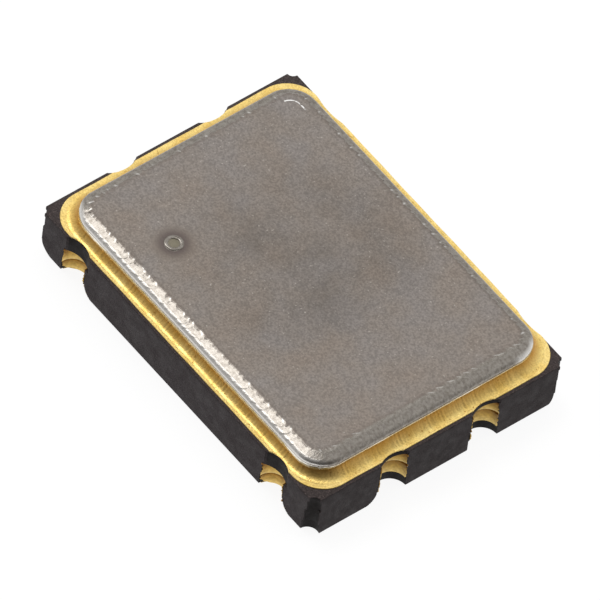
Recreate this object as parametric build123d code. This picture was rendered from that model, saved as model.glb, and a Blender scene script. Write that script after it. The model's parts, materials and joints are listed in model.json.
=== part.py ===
from build123d import *
from collections import namedtuple
import math
import os

# Four-terminal crystal oscillator in a co-fired ceramic package.
# Millimetres. X runs along the long side, Z up from the board, origin at the
# middle of the footprint on the board.

# Package outline
package_length = 7.0
package_width = 4.97
lower_arris = 0.02

# Thickness of what is plated or printed on the ceramic
terminal_plating = 0.015
print_thickness = 0.015

# The four ceramic sheets, from the board upwards
floor_sheet = 0.24
die_sheet = 0.32
crystal_sheet = 0.24
rim_sheet = 0.08

# Holes punched through the sheets and cut in two with them: the notches
terminal_pitch = 5.08
side_contact_pitch = 1.80
hole_radius_floor = 0.29
terminal_hole_radius_die = 0.265
side_hole_radius_die = 0.27
side_hole_radius_crystal = 0.27
side_hole_lead = 0.055
corner_hole_floor = 0.19
corner_hole_die = 0.20
corner_hole_crystal = 0.19
corner_hole_rim = 0.15
lower_sheets_shift = -0.055

# The upper sheets have only a wide shallow bite over each terminal
shallow_bite = 0.10
shallow_half_mouth = 0.29

# Solder pads under the body
pad_length = 1.40
pad_width = 1.15
pad_edge_margin = 0.05

# Lid, welded on the metal ring
lid_length = 6.30
lid_width = 4.44
lid_corner = 0.45
lid_thickness = 0.12
weld_track = 0.18
weld_track_drop = 0.04
lid_edge_radius = 0.02
spot_mark_radius = 0.147
spot_mark_bore = 0.098
spot_mark_height = 0.012
spot_mark_from_end = 1.53
spot_mark_from_side = 0.84

# Metal ring, its braze and the land that it stands on
ring_ledge = 0.045
seal_offset = 0.02
ring_band = 0.46
ring_height = 0.155
braze_layer = 0.02
braze_toe = 0.13
braze_rise = 0.14
braze_blunt_edge = 0.012
land_end_margin = 0.06
land_side_margin = 0.025
land_corner = 0.55
land_notch_margin = 0.01

# Cavity: how far each sheet stands in from the one above it
rim_step = 0.05
crystal_shelf_mount_end = 0.70
crystal_shelf_free_end = 0.42
crystal_shelf_side = 0.26
finger_shelf_end = 0.55
finger_shelf_side = 0.42
cavity_corner = 0.25

# Oscillator chip and what bonds it
chip_length = 1.60
chip_width = 1.20
chip_thickness = 0.15
chip_attach_layer = 0.015
chip_attach_margin = 0.06
chip_pad_length = 2.30
chip_pad_width = 1.70
bond_pad_size = 0.09
bond_pad_thickness = 0.01
bond_pad_inset = 0.09
bond_pitch = 0.36
bonds_on_long_side = 4
finger_length = 0.28
finger_width = 0.16
finger_inset = 0.05
wire_radius = 0.0125
wire_sides = 8
ball_radius = 0.035
ball_height = 0.02
wire_loop_rise = 0.22
wire_neck = 0.15
wire_shoulder = 0.09
wire_stitch = 0.07

# Quartz blank, its electrodes and its mounts
blank_thickness = 0.08
blank_mount_clearance = 0.12
blank_free_clearance = 0.34
blank_side_clearance = 0.60
electrode_length = 2.40
electrode_width = 1.60
electrode_corner = 0.20
electrode_film = 0.01
tab_width = 0.40
tab_offset = 0.72
tab_underside = 0.42
mount_pad_length = 0.46
mount_pad_width = 0.60
adhesive_height = 0.04
adhesive_radius = 0.19

# Heights that follow from the stack of pieces
body_bottom = terminal_plating
chip_floor = body_bottom + floor_sheet
finger_shelf = chip_floor + die_sheet
crystal_shelf = finger_shelf + crystal_sheet
body_top = crystal_shelf + rim_sheet
land_top = body_top + print_thickness
ring_bottom = land_top + braze_layer
lid_bottom = ring_bottom + ring_height
lid_top = lid_bottom + lid_thickness

# Sizes in plan that follow from the lid
ring_length = lid_length + 2 * ring_ledge
ring_width = lid_width + 2 * ring_ledge
ring_corner = lid_corner + ring_ledge
ring_bore_length = ring_length - 2 * ring_band
ring_bore_width = ring_width - 2 * ring_band
rim_bore_end = ring_bore_length / 2 - rim_step
rim_bore_side = ring_bore_width / 2 - rim_step

# Openings of the sheets, as low X, high X and half of the width
Opening = namedtuple("Opening", "low high half_width")
rim_opening = Opening(-rim_bore_end, rim_bore_end, rim_bore_side)
crystal_opening = Opening(
    rim_opening.low + crystal_shelf_mount_end,
    rim_opening.high - crystal_shelf_free_end,
    rim_opening.half_width - crystal_shelf_side,
)
die_opening = Opening(
    crystal_opening.low + finger_shelf_end,
    crystal_opening.high - finger_shelf_end,
    crystal_opening.half_width - finger_shelf_side,
)
chip_x = (die_opening.low + die_opening.high) / 2
chip_bottom = chip_floor + print_thickness + chip_attach_layer
chip_top = chip_bottom + chip_thickness

Hole = namedtuple("Hole", "radius lead")
side_hole = Hole(side_hole_radius_crystal, side_hole_lead)
shallow_radius = (shallow_half_mouth**2 + shallow_bite**2) / (2 * shallow_bite)
shallow_hole = Hole(shallow_radius, shallow_radius - shallow_bite)

Sheet = namedtuple("Sheet", "bottom top shift terminal_hole side_hole corner_radius opening")
floor = Sheet(
    body_bottom,
    chip_floor,
    lower_sheets_shift,
    Hole(hole_radius_floor, 0),
    Hole(hole_radius_floor, side_hole_lead),
    corner_hole_floor,
    None,
)
die = Sheet(
    chip_floor,
    finger_shelf,
    lower_sheets_shift,
    Hole(terminal_hole_radius_die, 0),
    Hole(side_hole_radius_die, side_hole_lead),
    corner_hole_die,
    die_opening,
)
crystal = Sheet(
    finger_shelf,
    crystal_shelf,
    0,
    shallow_hole,
    side_hole,
    corner_hole_crystal,
    crystal_opening,
)
rim = Sheet(
    crystal_shelf,
    body_top,
    0,
    shallow_hole,
    shallow_hole,
    corner_hole_rim,
    rim_opening,
)

# Terminals are numbered round the body from the corner with the spot mark
terminal_places = [
    (-terminal_pitch / 2, -1),
    (terminal_pitch / 2, -1),
    (terminal_pitch / 2, 1),
    (-terminal_pitch / 2, 1),
]
side_contact_places = [
    (1, -side_contact_pitch / 2),
    (1, side_contact_pitch / 2),
    (-1, side_contact_pitch / 2),
    (-1, -side_contact_pitch / 2),
]


def terminal_notch(sheet, place, skin=0.0):
    """Disc of a terminal hole in one sheet, smaller by the thickness of a skin on its wall."""
    x, side = place
    middle = (x + sheet.shift, side * (package_width / 2 + sheet.terminal_hole.lead))
    return Pos(*middle) * Circle(sheet.terminal_hole.radius - skin)


def side_notch(sheet, place, skin=0.0):
    side, y = place
    middle = (side * (package_length / 2 + sheet.side_hole.lead) + sheet.shift, y)
    return Pos(*middle) * Circle(sheet.side_hole.radius - skin)


def opening_outline(opening):
    middle = (opening.low + opening.high) / 2
    outline = RectangleRounded(opening.high - opening.low, 2 * opening.half_width, cavity_corner)
    return Pos(middle, 0) * outline


def slab(outline, bottom, top):
    return extrude(Pos(0, 0, bottom) * outline, top - bottom, dir=(0, 0, 1))


def sheet_solid(sheet):
    outline = Rectangle(package_length, package_width)
    corners = Pos(sheet.shift, 0) * GridLocations(package_length, package_width, 2, 2)
    outline -= [place * Circle(sheet.corner_radius) for place in corners]
    outline -= [terminal_notch(sheet, place) for place in terminal_places]
    outline -= [side_notch(sheet, place) for place in side_contact_places]
    if sheet.opening:
        outline -= opening_outline(sheet.opening)
    return slab(outline, sheet.bottom, sheet.top)


def make_ceramic_base():
    """One fired body of four sheets, with its lowest straight arrises broken."""
    lowest = sheet_solid(floor)
    underside = lowest.faces().sort_by(Axis.Z)[0]
    straight = underside.outer_wire().edges().filter_by(GeomType.LINE)
    lowest = chamfer(straight, lower_arris)
    return lowest + [sheet_solid(sheet) for sheet in (die, crystal, rim)]


def within_package(outline):
    return Rectangle(package_length, package_width) & outline


def plated_notch(notch, place, lower, upper):
    """Plating on the walls of one notch in two sheets, and on the ledge between them."""
    lower_cut, upper_cut = (within_package(notch(sheet, place)) for sheet in (lower, upper))
    lower_bore, upper_bore = (notch(sheet, place, terminal_plating) for sheet in (lower, upper))
    if upper_cut.area > lower_cut.area:
        ledge = slab(upper_cut - lower_bore, lower.top, lower.top + terminal_plating)
    else:
        ledge = slab(lower_cut - upper_bore, lower.top - terminal_plating, lower.top)
    return (
        slab(lower_cut - lower_bore, lower.bottom, lower.top)
        + slab(upper_cut - upper_bore, upper.bottom, upper.top)
        + ledge
    )


def make_terminal(place):
    """Pad under the body and the plated notch that carries solder up from it."""
    x, side = place
    reach = package_width / 2 - pad_edge_margin
    pad = Pos(x + floor.shift, side * (reach - pad_width / 2)) * Rectangle(pad_length, pad_width)
    pad += within_package(terminal_notch(floor, place))
    pad -= terminal_notch(floor, place, terminal_plating)
    return slab(pad, 0, body_bottom) + plated_notch(terminal_notch, place, floor, die)


def make_side_contact(place):
    """Plated end notch: it covers the two middle sheets and leaves the lowest bare."""
    return plated_notch(side_notch, place, die, crystal)


def land_outline():
    """Printed area, which stops short of every notch. The opening isn't cut from it yet."""
    length = package_length - 2 * land_end_margin
    width = package_width - 2 * land_side_margin
    outline = Pos(0, seal_offset) * RectangleRounded(length, width, land_corner)
    outline -= [terminal_notch(rim, place, -land_notch_margin) for place in terminal_places]
    outline -= [side_notch(rim, place, -land_notch_margin) for place in side_contact_places]
    return outline


def make_seal_land():
    return slab(land_outline() - opening_outline(rim_opening), body_top, land_top)


def ring_outline():
    outline = RectangleRounded(ring_length, ring_width, ring_corner)
    return outline - RectangleRounded(ring_bore_length, ring_bore_width, cavity_corner)


def ring_path():
    """Outer edge of the ring, one closed line that starts in the middle of an end."""
    end = ring_length / 2
    side = ring_width / 2
    corners = [(end, side), (-end, side), (-end, -side), (end, -side)]
    with BuildLine() as path:
        here = Vector(end, 0)
        for number, (x, y) in enumerate(corners):
            turn = number * 90
            arc = CenterArc(
                (x - math.copysign(ring_corner, x), y - math.copysign(ring_corner, y)),
                ring_corner,
                turn,
                90,
            )
            Line(here, arc @ 0)
            here = arc @ 1
        Line(here, (end, 0))
    return path.wire()


def make_seal_ring():
    return Pos(0, seal_offset) * slab(ring_outline(), ring_bottom, lid_bottom)


def make_seal_ring_braze():
    """Braze under the ring, drawn out into a hollow fillet up the ring's outer wall.

    It wets only the land, so the fillet ends wherever a notch bites into the land.
    """
    wall = ring_length / 2
    foot = Vector(wall + braze_toe, land_top + braze_blunt_edge)
    crest = Vector(wall + braze_blunt_edge, land_top + braze_rise)
    hollow_radius = (foot - crest).length / math.sqrt(2)
    hollow = RadiusArc(crest, foot, -hollow_radius)
    straight = Polyline(foot, (foot.X, land_top), (wall, land_top), (wall, crest.Y), crest)
    profile = Plane.XZ * make_face([*straight.edges(), hollow])
    fillet_ring = Pos(0, seal_offset) * sweep(profile, path=ring_path())
    wetted = fillet_ring & slab(land_outline(), land_top, lid_bottom)
    return wetted + Pos(0, seal_offset) * slab(ring_outline(), land_top, ring_bottom)


def make_lid():
    """Flat plate whose edge is pressed down in a track by the weld."""
    plate = slab(RectangleRounded(lid_length, lid_width, lid_corner), lid_bottom, lid_top)
    top = plate.faces().sort_by(Axis.Z)[-1]
    plate = chamfer(top.edges(), weld_track, length2=weld_track_drop, reference=top)
    brim = lid_top - weld_track_drop
    plate = fillet(plate.edges().filter_by_position(Axis.Z, brim, brim), lid_edge_radius)
    mark = Circle(spot_mark_radius) - Circle(spot_mark_bore)
    place = Pos(spot_mark_from_end - lid_length / 2, spot_mark_from_side - lid_width / 2)
    return Pos(0, seal_offset) * (plate + slab(place * mark, lid_top, lid_top + spot_mark_height))


def make_chip_pad():
    outline = Pos(chip_x, 0) * Rectangle(chip_pad_length, chip_pad_width)
    return slab(outline, chip_floor, chip_floor + print_thickness)


def make_chip_attach():
    length = chip_length + 2 * chip_attach_margin
    width = chip_width + 2 * chip_attach_margin
    outline = Pos(chip_x, 0) * Rectangle(length, width)
    return slab(outline, chip_floor + print_thickness, chip_bottom)


def make_chip():
    outline = Pos(chip_x, 0) * Rectangle(chip_length, chip_width)
    return slab(outline, chip_bottom, chip_top)


def bond_places():
    """Start on the chip, end on the shelf and direction of each wire, in degrees."""
    half_length = chip_length / 2 - bond_pad_inset
    half_width = chip_width / 2 - bond_pad_inset
    shelf_y = die_opening.half_width + finger_inset + finger_length / 2
    shelf_x = die_opening.high + finger_inset + finger_length / 2 - chip_x
    row = [(step - (bonds_on_long_side - 1) / 2) * bond_pitch for step in range(bonds_on_long_side)]
    places = [((x, -half_width), (x, -shelf_y), -90) for x in row]
    places.append(((half_length, 0), (shelf_x, 0), 0))
    places += [((x, half_width), (x, shelf_y), 90) for x in reversed(row)]
    places.append(((-half_length, 0), (-shelf_x, 0), 180))
    return places


def make_chip_bond_pads():
    pads = [
        Pos(chip_x + x, y) * Rectangle(bond_pad_size, bond_pad_size)
        for (x, y), _, _ in bond_places()
    ]
    return Compound([slab(pad, chip_top, chip_top + bond_pad_thickness) for pad in pads])


def make_bond_fingers():
    fingers = [
        Pos(chip_x + x, y) * Rot(0, 0, turn) * Rectangle(finger_length, finger_width)
        for _, (x, y), turn in bond_places()
    ]
    return Compound([slab(finger, finger_shelf, finger_shelf + print_thickness) for finger in fingers])


def make_bond_wire(start, end, turn):
    """Gold wire: ball on the chip, neck, bent shoulder, slope, and a stitch on the finger.

    So thin a wire is drawn with a few flat sides in place of a round section.
    """
    span = math.dist(start, end)
    foot = Vector(0, 0, chip_top + bond_pad_thickness)
    neck = Vector(0, 0, foot.Z + wire_neck)
    crown = Vector(wire_shoulder, 0, foot.Z + wire_loop_rise)
    landing = finger_shelf + print_thickness + wire_radius
    heel = Vector(span - wire_stitch, 0, landing)
    toe = Vector(span + wire_stitch / 2, 0, landing)
    path = Polyline(foot, neck, crown, heel, toe)
    section = Pos(*foot) * RegularPolygon(wire_radius, wire_sides)
    wire = sweep(section, path=path, transition=Transition.RIGHT)
    ball = Pos(0, 0, foot.Z) * extrude(Circle(ball_radius), ball_height)
    return Pos(chip_x + start[0], start[1]) * Rot(0, 0, turn) * (wire + ball)


blank_low = rim_opening.low + blank_mount_clearance
blank_high = rim_opening.high - blank_free_clearance
blank_length = blank_high - blank_low
blank_width = 2 * (rim_opening.half_width - blank_side_clearance)
blank_x = (blank_low + blank_high) / 2
mount_pad_top = crystal_shelf + print_thickness
blank_bottom = mount_pad_top + adhesive_height + electrode_film
blank_top = blank_bottom + blank_thickness
mount_x = blank_low + tab_underside / 2


def make_quartz_blank():
    return slab(Pos(blank_x, 0) * Rectangle(blank_length, blank_width), blank_bottom, blank_top)


def electrode_outline(tab_y, tab_end):
    """Rounded field in the middle of the blank with a tab to its mounted end."""
    field = Pos(blank_x, 0) * RectangleRounded(electrode_length, electrode_width, electrode_corner)
    root = blank_x - electrode_length / 2 + electrode_corner
    tab = Pos((tab_end + root) / 2, tab_y) * Rectangle(root - tab_end, tab_width)
    return field + tab


def make_bottom_electrode():
    return slab(electrode_outline(-tab_offset, blank_low), blank_bottom - electrode_film, blank_bottom)


def make_top_electrode():
    """Its tab wraps round the end of the blank to reach the adhesive below."""
    end = blank_low - electrode_film
    face = slab(electrode_outline(tab_offset, end), blank_top, blank_top + electrode_film)
    wrap = Pos(end + electrode_film / 2, tab_offset) * Rectangle(electrode_film, tab_width)
    underside = Pos(end + (tab_underside + electrode_film) / 2, tab_offset) * Rectangle(
        tab_underside + electrode_film, tab_width
    )
    return (
        face
        + slab(wrap, blank_bottom, blank_top)
        + slab(underside, blank_bottom - electrode_film, blank_bottom)
    )


def make_mount_pad(side):
    outline = Pos(mount_x, side * tab_offset) * Rectangle(mount_pad_length, mount_pad_width)
    return slab(outline, crystal_shelf, mount_pad_top)


def make_adhesive_dot(side):
    return slab(
        Pos(mount_x, side * tab_offset) * Circle(adhesive_radius),
        mount_pad_top,
        mount_pad_top + adhesive_height,
    )


def all_pieces():
    pieces = {
        "ceramic_base": make_ceramic_base(),
        "seal_land": make_seal_land(),
        "seal_ring_braze": make_seal_ring_braze(),
        "seal_ring": make_seal_ring(),
        "lid": make_lid(),
    }
    for number, place in enumerate(terminal_places, 1):
        pieces[f"terminal_{number}"] = make_terminal(place)
    for number, place in enumerate(side_contact_places, 1):
        pieces[f"side_contact_{number}"] = make_side_contact(place)
    pieces["chip_attach_pad"] = make_chip_pad()
    pieces["chip_attach_layer"] = make_chip_attach()
    pieces["oscillator_chip"] = make_chip()
    pieces["chip_bond_pads"] = make_chip_bond_pads()
    pieces["bond_fingers"] = make_bond_fingers()
    for number, (start, end, turn) in enumerate(bond_places(), 1):
        pieces[f"bond_wire_{number}"] = make_bond_wire(start, end, turn)
    pieces["quartz_blank"] = make_quartz_blank()
    pieces["bottom_electrode"] = make_bottom_electrode()
    pieces["top_electrode"] = make_top_electrode()
    for number, side in enumerate((-1, 1), 1):
        pieces[f"crystal_mount_pad_{number}"] = make_mount_pad(side)
        pieces[f"adhesive_dot_{number}"] = make_adhesive_dot(side)
    return pieces


os.makedirs("parts", exist_ok=True)
for name, piece in all_pieces().items():
    export_step(piece, f"parts/{name}.step")
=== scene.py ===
# %% [markdown]
# # A crystal oscillator, seven millimetres long
#
# The real object is a flat black ceramic box with a metal lid welded on it. A gold land is
# printed round the top of the box, a metal ring is brazed on the land, and the lid is seam
# welded to the ring. Half-round notches in the walls are plated with gold, so that solder can
# climb them. The measured solids come from the frame. This lesson dresses them: the same
# sizes, with the fine edges and finishes that a macro photograph shows.
#
# Sizes are written in millimetres, and one helper turns them into metres when a mesh is made.

# %% Load the measured frame
import bmesh
import bpy
import json
import math
import numpy as np
from collections import namedtuple
from mathutils import Matrix, Vector

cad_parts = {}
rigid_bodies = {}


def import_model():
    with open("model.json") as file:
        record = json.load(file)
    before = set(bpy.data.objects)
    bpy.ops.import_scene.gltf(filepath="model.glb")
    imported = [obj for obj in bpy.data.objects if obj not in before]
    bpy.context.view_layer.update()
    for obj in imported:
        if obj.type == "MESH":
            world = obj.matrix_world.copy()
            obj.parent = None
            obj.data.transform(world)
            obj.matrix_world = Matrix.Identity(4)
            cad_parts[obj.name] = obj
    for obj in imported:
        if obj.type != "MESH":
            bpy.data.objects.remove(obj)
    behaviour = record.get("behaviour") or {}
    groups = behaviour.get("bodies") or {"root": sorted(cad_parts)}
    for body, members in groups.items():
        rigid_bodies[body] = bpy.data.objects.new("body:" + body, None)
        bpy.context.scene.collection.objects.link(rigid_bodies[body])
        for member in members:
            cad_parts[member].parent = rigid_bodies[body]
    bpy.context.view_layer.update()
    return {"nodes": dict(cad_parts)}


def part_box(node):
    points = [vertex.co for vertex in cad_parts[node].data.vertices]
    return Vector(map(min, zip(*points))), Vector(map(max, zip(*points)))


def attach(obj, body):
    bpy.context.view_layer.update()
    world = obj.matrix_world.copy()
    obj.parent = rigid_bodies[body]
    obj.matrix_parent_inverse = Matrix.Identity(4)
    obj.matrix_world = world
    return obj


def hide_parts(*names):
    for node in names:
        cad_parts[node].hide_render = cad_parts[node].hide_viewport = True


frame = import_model()
MM = 0.001
print("nodes in the frame:", len(frame["nodes"]))

# %% [markdown]
# ## What the frame already knows
#
# Heights and outer sizes are read from the solids, so that no piece can drift from its place.
# A box gives the lowest and highest corner of a node, here in millimetres.


# %% Heights and outlines from the frame
def box_mm(node):
    low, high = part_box(node)
    return np.array(low) / MM, np.array(high) / MM


body_low, body_high = box_mm("ceramic_base")
land_low, land_high = box_mm("seal_land")
braze_high = box_mm("seal_ring_braze")[1]
ring_low, ring_high = box_mm("seal_ring")
lid_low, lid_high = box_mm("lid")
seal_y = (lid_low[1] + lid_high[1]) / 2
floor_top = box_mm("side_contact_1")[0][2]
die_top = box_mm("terminal_1")[1][2]
crystal_top = box_mm("side_contact_1")[1][2]
half_length = body_high[0]
half_width = body_high[1]
print("body from", body_low.round(3), "to", body_high.round(3))
print("sheet tops at", round(floor_top, 3), round(die_top, 3), round(crystal_top, 3))

# %% [markdown]
# ## Sizes that the boxes can't tell
#
# These are the radii of the punched holes, how far the two lower sheets slipped sideways when
# the stack was pressed, and the profiles of the pad, the braze and the weld. On the long sides
# the two upper sheets have shallow bites, and on the far one they are less deep still.

# %% Named sizes
terminal_x = 2.54
side_contact_y = 0.90
lower_sheets_shift = -0.055
hole_radius_floor = 0.29
terminal_radius_die = 0.265
side_radius = 0.27
side_lead = 0.055
shallow_bite = 0.10
shallow_half_mouth = 0.29
shallow_radius = (shallow_half_mouth**2 + shallow_bite**2) / (2 * shallow_bite)
shallow_lead = shallow_radius - shallow_bite
far_bite = 0.03
far_radius = (shallow_half_mouth**2 + far_bite**2) / (2 * far_bite)
far_lead = far_radius - far_bite
plating = 0.015
print_softness = 0.006
pad_length = 1.40
pad_width = 1.15
pad_edge_margin = 0.05
land_corner = 0.55
land_notch_margin = 0.01
ring_corner = 0.495
ring_band = 0.46
braze_toe_side = 0.150
braze_toe_end = 0.205
braze_dip = 0.045
braze_feather = 0.002
braze_power = 2.1
lid_corner = 0.45
weld_track = 0.175
weld_slope = 0.16
weld_drop = 0.04
lid_top = ring_high[2] + 0.12
spot_mark_radius = 0.147
spot_mark_bore = 0.098
spot_mark_place = (-1.62, -1.34)
print("shallow bite of radius", round(shallow_radius, 3), "and far bite", round(far_radius, 3))

# %% [markdown]
# ## The camera
#
# The photograph was taken from far away with a long lens, so parallel edges stay parallel.
# The camera's turn, height and tilt were fitted to the corners of the package. It is placed on
# a line through the point that it looks at, a third of a metre away.

# %% Camera at the photograph's angle
camera_azimuth = math.radians(46.32)
camera_elevation = math.radians(51.48)
camera_roll = math.radians(7.73)
camera_distance = 368.7
camera_aim = Vector((0.0407, -0.0754, 0.6330))
sensor_width = 36.0
lens_length = 1421.6

flat = math.cos(camera_elevation)
across, along = math.sin(camera_azimuth) * flat, -math.cos(camera_azimuth) * flat
back = Vector((across, along, math.sin(camera_elevation)))
level_right = Vector((math.cos(camera_azimuth), math.sin(camera_azimuth), 0))
level_up = back.cross(level_right)
right = level_right * math.cos(camera_roll) + level_up * math.sin(camera_roll)
up = level_up * math.cos(camera_roll) - level_right * math.sin(camera_roll)
camera_data = bpy.data.cameras.new("camera")
camera_data.lens = lens_length
camera_data.sensor_width = sensor_width
camera_data.clip_start = 0.01
camera_data.clip_end = 100
camera = bpy.data.objects.new("camera", camera_data)
camera.matrix_world = Matrix.Translation((camera_aim + back * camera_distance) * MM) @ (
    Matrix((right, up, back)).transposed().to_4x4()
)
bpy.context.scene.collection.objects.link(camera)
bpy.context.scene.camera = camera
print("camera at", [round(value, 4) for value in camera.location])

# %% [markdown]
# ## Meshes from loops
#
# Almost everything here is a closed outline repeated at several heights. If each outline has
# the same number of points, the wall between two of them is a strip of four-sided faces. These
# helpers build such a stack of loops, and close it at its ends or back onto its first loop.


# %% Helpers that turn loops into a mesh
def mesh_object(name, points, faces):
    """A new object at the origin, from points in millimetres."""
    mesh = bpy.data.meshes.new(name)
    mesh.from_pydata((np.asarray(points, float) * MM).tolist(), [], faces)
    mesh.validate()
    piece = bpy.data.objects.new(name, mesh)
    bpy.context.scene.collection.objects.link(piece)
    return piece


def strip_faces(rows, count, closed_rows=False):
    """Four-sided faces between neighbouring rows of closed loops."""
    faces = []
    for row in range(rows if closed_rows else rows - 1):
        low = row * count
        high = (row + 1) % rows * count
        for i in range(count):
            j = (i + 1) % count
            faces.append((low + i, low + j, high + j, high + i))
    return faces


def stack(loops, close_first=True, close_last=True):
    """Points and faces of loops that run counter-clockwise, seen from the last one."""
    count = len(loops[0])
    last = (len(loops) - 1) * count
    faces = strip_faces(len(loops), count)
    if close_first:
        faces.append(tuple(range(count))[::-1])
    if close_last:
        faces.append(tuple(range(last, last + count)))
    return np.concatenate(loops), faces


# %% Helpers that lift, join and close loops
def hoop(name, loops):
    """A piece whose last loop is joined back to its first."""
    faces = strip_faces(len(loops), len(loops[0]), closed_rows=True)
    return mesh_object(name, np.concatenate(loops), faces)


def joined(parts):
    """Several sets of points and faces as one set."""
    faces = []
    start = 0
    for points, part_faces in parts:
        faces += [tuple(start + i for i in face) for face in part_faces]
        start += len(points)
    return np.concatenate([points for points, _ in parts]), faces


def at_height(outline, height):
    """A flat outline at one height, or at one height for each point."""
    return np.column_stack([outline, np.broadcast_to(height, len(outline))])


# %% Helpers that finish a mesh
def smooth_shading(piece, sharp_degrees=32):
    """Smooth faces, with a hard edge wherever the surface turns by more than the angle."""
    piece.data.shade_smooth()
    piece.data.set_sharp_from_angle(angle=math.radians(sharp_degrees))


def clean_mesh(piece, fill_opening=False):
    """Merges doubled points, fills an opening if asked, and turns the faces outwards."""
    doubled = 2e-4 * MM
    work = bmesh.new()
    work.from_mesh(piece.data)
    bmesh.ops.remove_doubles(work, verts=work.verts, dist=doubled)
    bmesh.ops.dissolve_degenerate(work, edges=work.edges, dist=doubled / 2)
    if fill_opening:
        rim = [edge for edge in work.edges if edge.is_boundary]
        bmesh.ops.triangle_fill(work, edges=rim, use_beauty=True, use_dissolve=False)
    bmesh.ops.recalc_face_normals(work, faces=work.faces)
    open_edges = sum(edge.is_boundary for edge in work.edges)
    work.to_mesh(piece.data)
    work.free()
    return open_edges


def keep_attribute(piece, name, values, rest=0.0):
    """Stores one number for each point, and the rest for the points past the last value."""
    stored_values = np.full(len(piece.data.vertices), rest, np.float32)
    stored_values[: len(values)] = values
    attribute = piece.data.attributes.new(name, "FLOAT", "POINT")
    attribute.data.foreach_set("value", stored_values)


# %% [markdown]
# ## A rounded rectangle, walked at an even pace
#
# The lid, the ring, the braze and the land all follow one kind of path: four straight runs
# joined by quarter circles. Walking it by distance keeps the points evenly spaced, and the
# distance is kept, because the weld and the braze have a pattern that follows it.


# %% The path round the lid
def rounded_path(half_x, half_y, corner, count):
    """Points, outward normals and distances, from the middle of the +X end."""
    run_x = 2 * (half_x - corner)
    run_y = 2 * (half_y - corner)
    arc = math.pi / 2 * corner
    runs = [run_y / 2, arc, run_x, arc, run_y, arc, run_x, arc, run_y / 2]
    distances = np.arange(count) * sum(runs) / count
    points = np.zeros((count, 2))
    normals = np.zeros((count, 2))
    here = np.array([half_x, 0.0])
    heading = math.pi / 2
    passed = 0.0
    for number, run in enumerate(runs):
        turn = run / corner if number % 2 else 0.0
        chosen = (distances >= passed) & (distances < passed + run)
        along = np.append(distances[chosen] - passed, run)
        angle = heading + along / run * turn
        if turn:
            steps = corner * np.stack(
                [np.sin(angle) - math.sin(heading), math.cos(heading) - np.cos(angle)], 1
            )
        else:
            steps = along[:, None] * np.array([math.cos(heading), math.sin(heading)])
        points[chosen] = here + steps[:-1]
        normals[chosen] = np.stack([np.sin(angle), -np.cos(angle)], 1)[:-1]
        here = here + steps[-1]
        heading += turn
        passed += run
    return points + (0, seal_y), normals, distances


def moved_out(points, normals, outward):
    """The path moved outwards, by one distance or by one for each point."""
    return points + normals * np.broadcast_to(outward, len(points))[:, None]


# %% [markdown]
# ## The ceramic body
#
# The body is four sheets of green ceramic, punched, stacked, pressed and fired as one piece.
# Each sheet has its own holes, so a notch is a stack of half circles that don't quite line up.
# Two ways offer themselves: cut cylinders out of a block, or draw the outline of each sheet
# and stack the outlines. Stacking wins, because each outline is a short formula, and a row of
# points can sit exactly on every mouth, so the steep walls stay crisp.
#
# Along a side, a bite is a depth that depends on the place. At some mouths the lowest sheet has
# its corner worn round, and the wear is one more depth of the same kind.


# %% How deep a side is bitten
def worn(height):
    """How much wider a mouth is at a height over the underside."""
    wear_radius = 0.24
    rest = min(max(wear_radius - height, 0), wear_radius)
    return wear_radius - math.sqrt(wear_radius**2 - rest**2)


def bite_depth(places, centres, radius, lead, wear=0.0, worn_mouths=()):
    """Depth of half-round bites along a side, whose centres lie outside it by the lead.

    A worn mouth is given as the number of its bite and the sign of its side.
    """
    wear_slant = 0.55
    depth = np.zeros_like(places)
    mouth = math.sqrt(radius**2 - lead**2)
    for number, centre in enumerate(centres):
        away = places - centre
        depth = np.maximum(depth, np.sqrt(np.maximum(radius**2 - away**2, 0)) - lead)
        for sign in (-1, 1):
            if wear and (number, sign) in worn_mouths:
                slant = np.clip((mouth + wear - sign * away) / wear, 0, 1)
                slant[sign * away < 0] = 0
                depth = np.maximum(depth, wear_slant * wear * slant)
    return depth


# %% The four sheets and where their bites lie
Sheet = namedtuple("Sheet", "low high shift terminal side corners")


def by_corner(near, right, far, left):
    """A value for each corner, named by where the photograph shows it."""
    return dict(zip(((1, -1), (1, 1), (-1, 1), (-1, -1)), (near, right, far, left)))


shallow = (shallow_radius, shallow_lead)
side_hole = (side_radius, side_lead)
lower_holes = (
    ((hole_radius_floor, 0), (hole_radius_floor, side_lead), by_corner(0.185, 0.19, 0.16, 0.16)),
    ((terminal_radius_die, 0), side_hole, by_corner(0.150, 0.17, 0.15, 0.15)),
)
upper_holes = (
    (shallow, side_hole, by_corner(0.165, 0.15, 0.13, 0.12)),
    (shallow, shallow, by_corner(0.130, 0.13, 0.11, 0.10)),
)
floor_sheet = Sheet(body_low[2], floor_top, lower_sheets_shift, *lower_holes[0])
die_sheet = Sheet(floor_top, die_top, lower_sheets_shift, *lower_holes[1])
crystal_sheet = Sheet(die_top, crystal_top, 0, *upper_holes[0])
rim_sheet = Sheet(crystal_top, body_high[2], 0, *upper_holes[1])
sheets = (floor_sheet, die_sheet, crystal_sheet, rim_sheet)
print("sheets from", [round(each.low, 3) for each in sheets], "upwards")

# %% [markdown]
# ## Places along a side
#
# All four outlines need the same number of points, and the points must lie close together at
# every steep wall of every sheet. So the places are the union of what each sheet needs.


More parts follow.
